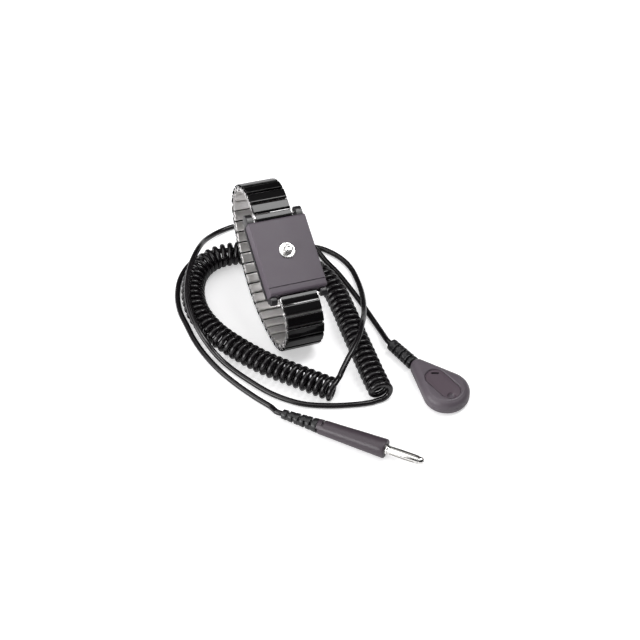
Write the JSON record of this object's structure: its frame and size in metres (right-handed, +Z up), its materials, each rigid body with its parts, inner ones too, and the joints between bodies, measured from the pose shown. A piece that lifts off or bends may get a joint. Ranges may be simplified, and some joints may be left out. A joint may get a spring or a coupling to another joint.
{
  "type": "antistatic wrist strap",
  "caption": "Antistatic wrist strap: expanding metal link band with a snap-stud housing, and a coiled cord ending in a snap connector and a banana plug.",
  "frame": {"origin": "On the floor under the middle of the strap, the cord set left out", "axes": "+Y towards the raised top bend of the ring, +X across the band, +Z up"},
  "size_m": [0.1015, 0.1669, 0.0528],
  "materials": {
    "band_steel": "black glossy outer sleeves; the inner sleeves are bare brushed steel",
    "steel": "satin",
    "spring_steel": "bright",
    "nickel": "bright nickel",
    "housing_grey": "fine satin",
    "black_plastic": "gloss",
    "cord_black": "satin polyurethane",
    "shell_grey": "satin",
    "black_rubber": "matt",
    "resistor_tan": "matt",
    "brass": "plain"
  },
  "bodies": {
    "cord_set": {"coil_cord": "cord_black", "lead_snap": "cord_black", "lead_plug": "cord_black", "snap_lower_shell": "shell_grey", "snap_upper_shell": "shell_grey", "snap_pad": "shell_grey", "snap_socket": "nickel", "socket_spring": "spring_steel", "resistor": "resistor_tan", "snap_relief": "black_rubber", "plug_handle": "shell_grey", "plug_relief": "black_rubber", "banana_pin": "nickel", "banana_spring": "nickel", "crimp_sleeve": "brass"},
    "resting_link": {"link_20": "band_steel"},
    "housing": {"housing_cover": "housing_grey", "housing_base": "black_plastic", "contact_plate": "steel", "contact_strip": "spring_steel", "snap_stud": "nickel", "stud_washer": "steel", "spring_bar_top": "steel", "spring_bar_bottom": "steel", "end_link_top": "band_steel", "end_link_bottom": "band_steel", "link_01": "band_steel", "link_28": "band_steel"},
    "band_link_02": {"link_02": "band_steel"},
    "band_link_03": {"link_03": "band_steel"},
    "band_link_04": {"link_04": "band_steel"},
    "band_link_05": {"link_05": "band_steel"},
    "band_link_06": {"link_06": "band_steel"},
    "band_link_07": {"link_07": "band_steel"},
    "band_link_08": {"link_08": "band_steel"},
    "band_link_09": {"link_09": "band_steel"},
    "band_link_10": {"link_10": "band_steel"},
    "band_link_11": {"link_11": "band_steel"},
    "band_link_12": {"link_12": "band_steel"},
    "band_link_13": {"link_13": "band_steel"},
    "band_link_14": {"link_14": "band_steel"},
    "band_link_15": {"link_15": "band_steel"},
    "band_link_16": {"link_16": "band_steel"},
    "band_link_17": {"link_17": "band_steel"},
    "band_link_18": {"link_18": "band_steel"},
    "band_link_19": {"link_19": "band_steel"},
    "band_link_21": {"link_21": "band_steel"},
    "band_link_22": {"link_22": "band_steel"},
    "band_link_23": {"link_23": "band_steel"},
    "band_link_24": {"link_24": "band_steel"},
    "band_link_25": {"link_25": "band_steel"},
    "band_link_26": {"link_26": "band_steel"},
    "band_link_27": {"link_27": "band_steel"}
  },
  "joints": [
    {"name": "strap_lift", "type": "slide", "parent": "cord_set", "child": "resting_link", "axis": [0, 0, 1], "range_m": [0, 0.06]},
    {"name": "band_stretch", "type": "slide", "parent": "resting_link", "child": "housing", "axis": [0.1354, -0.2302, 0.9637], "range_m": [0, 0.00886], "stiffness_N_per_m": 250},
    {"name": "link_02_slide", "type": "slide", "parent": "resting_link", "child": "band_link_02", "axis": [0.139, -0.0447, 0.9893], "range_m": [0, 0.00942]},
    {"name": "link_03_slide", "type": "slide", "parent": "resting_link", "child": "band_link_03", "axis": [0.1378, 0.1417, 0.9803], "range_m": [0, 0.00968]},
    {"name": "link_04_slide", "type": "slide", "parent": "resting_link", "child": "band_link_04", "axis": [0.1317, 0.3233, 0.9371], "range_m": [0, 0.00955]},
    {"name": "link_05_slide", "type": "slide", "parent": "resting_link", "child": "band_link_05", "axis": [0.1211, 0.4929, 0.8616], "range_m": [0, 0.00904]},
    {"name": "link_06_slide", "type": "slide", "parent": "resting_link", "child": "band_link_06", "axis": [0.1065, 0.6435, 0.758], "range_m": [0, 0.00817]},
    {"name": "link_07_slide", "type": "slide", "parent": "resting_link", "child": "band_link_07", "axis": [0.0889, 0.7693, 0.6327], "range_m": [0, 0.00698]},
    {"name": "link_08_slide", "type": "slide", "parent": "resting_link", "child": "band_link_08", "axis": [0.0698, 0.8653, 0.4963], "range_m": [0, 0.00551]},
    {"name": "link_09_slide", "type": "slide", "parent": "resting_link", "child": "band_link_09", "axis": [0.0647, 0.8855, 0.4601], "range_m": [0, 0.00509]},
    {"name": "link_10_slide", "type": "slide", "parent": "resting_link", "child": "band_link_10", "axis": [0.0595, 0.9042, 0.423], "range_m": [0, 0.00465]},
    {"name": "link_11_slide", "type": "slide", "parent": "resting_link", "child": "band_link_11", "axis": [0.0541, 0.9212, 0.3852], "range_m": [0, 0.00421]},
    {"name": "link_12_slide", "type": "slide", "parent": "resting_link", "child": "band_link_12", "axis": [0.0487, 0.9367, 0.3468], "range_m": [0, 0.00376]},
    {"name": "link_13_slide", "type": "slide", "parent": "resting_link", "child": "band_link_13", "axis": [0.0432, 0.9505, 0.3077], "range_m": [0, 0.00331]},
    {"name": "link_14_slide", "type": "slide", "parent": "resting_link", "child": "band_link_14", "axis": [0.0377, 0.9627, 0.2681], "range_m": [0, 0.00284]},
    {"name": "link_15_slide", "type": "slide", "parent": "resting_link", "child": "band_link_15", "axis": [0.032, 0.9731, 0.228], "range_m": [0, 0.00238]},
    {"name": "link_16_slide", "type": "slide", "parent": "resting_link", "child": "band_link_16", "axis": [0.0264, 0.9819, 0.1875], "range_m": [0, 0.00191]},
    {"name": "link_17_slide", "type": "slide", "parent": "resting_link", "child": "band_link_17", "axis": [0.0206, 0.989, 0.1467], "range_m": [0, 0.00144]},
    {"name": "link_18_slide", "type": "slide", "parent": "resting_link", "child": "band_link_18", "axis": [0.0149, 0.9943, 0.1057], "range_m": [0, 0.000958]},
    {"name": "link_19_slide", "type": "slide", "parent": "resting_link", "child": "band_link_19", "axis": [0.0091, 0.9979, 0.0644], "range_m": [0, 0.000481]},
    {"name": "link_21_slide", "type": "slide", "parent": "resting_link", "child": "band_link_21", "axis": [0.0026, -0.9998, 0.0183], "range_m": [0, 0.000481]},
    {"name": "link_22_slide", "type": "slide", "parent": "resting_link", "child": "band_link_22", "axis": [0.0084, -0.9982, 0.0597], "range_m": [0, 0.000958]},
    {"name": "link_23_slide", "type": "slide", "parent": "resting_link", "child": "band_link_23", "axis": [0.0427, -0.9517, 0.304], "range_m": [0, 0.00276]},
    {"name": "link_24_slide", "type": "slide", "parent": "resting_link", "child": "band_link_24", "axis": [0.0696, -0.866, 0.4952], "range_m": [0, 0.00444]},
    {"name": "link_25_slide", "type": "slide", "parent": "resting_link", "child": "band_link_25", "axis": [0.0927, -0.7456, 0.6599], "range_m": [0, 0.00595]},
    {"name": "link_26_slide", "type": "slide", "parent": "resting_link", "child": "band_link_26", "axis": [0.1118, -0.5953, 0.7957], "range_m": [0, 0.00722]},
    {"name": "link_27_slide", "type": "slide", "parent": "resting_link", "child": "band_link_27", "axis": [0.1262, -0.4212, 0.8981], "range_m": [0, 0.00821]}
  ],
  "couplings": [
    {"joint": "link_02_slide", "follows": "band_stretch", "ratio": 1.0633},
    {"joint": "link_03_slide", "follows": "band_stretch", "ratio": 1.0925},
    {"joint": "link_04_slide", "follows": "band_stretch", "ratio": 1.0781},
    {"joint": "link_05_slide", "follows": "band_stretch", "ratio": 1.0207},
    {"joint": "link_06_slide", "follows": "band_stretch", "ratio": 0.92254},
    {"joint": "link_07_slide", "follows": "band_stretch", "ratio": 0.78774},
    {"joint": "link_08_slide", "follows": "band_stretch", "ratio": 0.62189},
    {"joint": "link_09_slide", "follows": "band_stretch", "ratio": 0.57396},
    {"joint": "link_10_slide", "follows": "band_stretch", "ratio": 0.52503},
    {"joint": "link_11_slide", "follows": "band_stretch", "ratio": 0.47517},
    {"joint": "link_12_slide", "follows": "band_stretch", "ratio": 0.42449},
    {"joint": "link_13_slide", "follows": "band_stretch", "ratio": 0.37307},
    {"joint": "link_14_slide", "follows": "band_stretch", "ratio": 0.32099},
    {"joint": "link_15_slide", "follows": "band_stretch", "ratio": 0.26836},
    {"joint": "link_16_slide", "follows": "band_stretch", "ratio": 0.21525},
    {"joint": "link_17_slide", "follows": "band_stretch", "ratio": 0.16177},
    {"joint": "link_18_slide", "follows": "band_stretch", "ratio": 0.108},
    {"joint": "link_19_slide", "follows": "band_stretch", "ratio": 0.054048},
    {"joint": "link_21_slide", "follows": "band_stretch", "ratio": 0.054048},
    {"joint": "link_22_slide", "follows": "band_stretch", "ratio": 0.108},
    {"joint": "link_23_slide", "follows": "band_stretch", "ratio": 0.31087},
    {"joint": "link_24_slide", "follows": "band_stretch", "ratio": 0.50144},
    {"joint": "link_25_slide", "follows": "band_stretch", "ratio": 0.67192},
    {"joint": "link_26_slide", "follows": "band_stretch", "ratio": 0.81547},
    {"joint": "link_27_slide", "follows": "band_stretch", "ratio": 0.92631}
  ]
}
